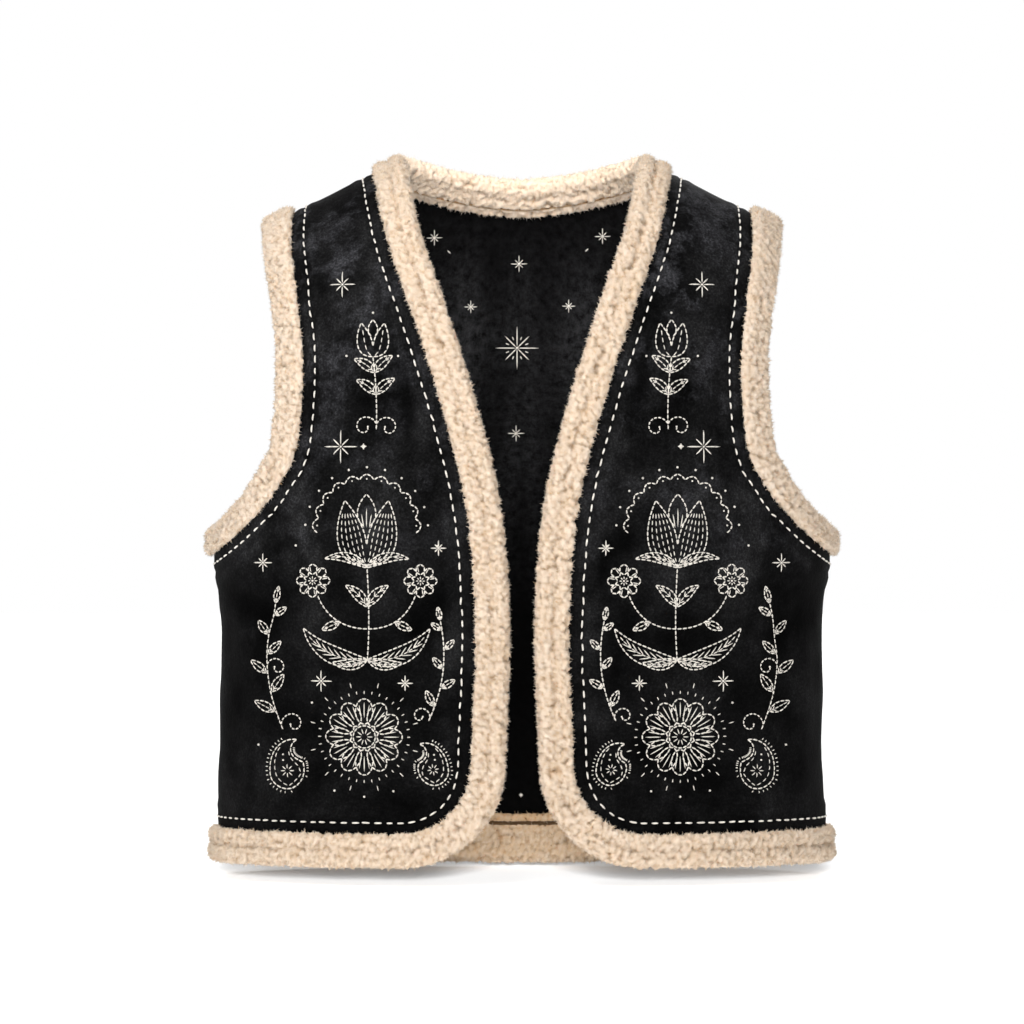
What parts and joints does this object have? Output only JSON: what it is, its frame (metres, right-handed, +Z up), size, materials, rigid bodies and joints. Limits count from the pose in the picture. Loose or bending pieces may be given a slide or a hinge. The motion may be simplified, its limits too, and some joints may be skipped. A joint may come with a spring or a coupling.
{
  "type": "shearling-trimmed vest",
  "caption": "Open-front sleeveless suede vest, filled out as worn, with cream shearling folded over the neck, front edges, hem and armholes.",
  "frame": {"origin": "midway between the shoulders, level with the neck ends of the shoulder seams, where the wearer holds the vest up", "axes": "+Z up along the body, the open front faces -Y, +X towards the wearer's left arm"},
  "size_m": [0.4436, 0.2523, 0.5033],
  "materials": {
    "suede": "matt black suede with a fine nap",
    "lining": "plain black woven cotton",
    "shearling": "cream curly pile",
    "thread": "off-white embroidery thread"
  },
  "bodies": {
    "root": {"front_left": "suede", "front_right": "suede", "back": "suede", "back_lining": "lining", "trim_front_left": "shearling", "trim_front_right": "shearling", "trim_back_neck": "shearling", "trim_back_hem": "shearling", "trim_armhole_left": "shearling", "trim_armhole_right": "shearling"}
  },
  "joints": []
}
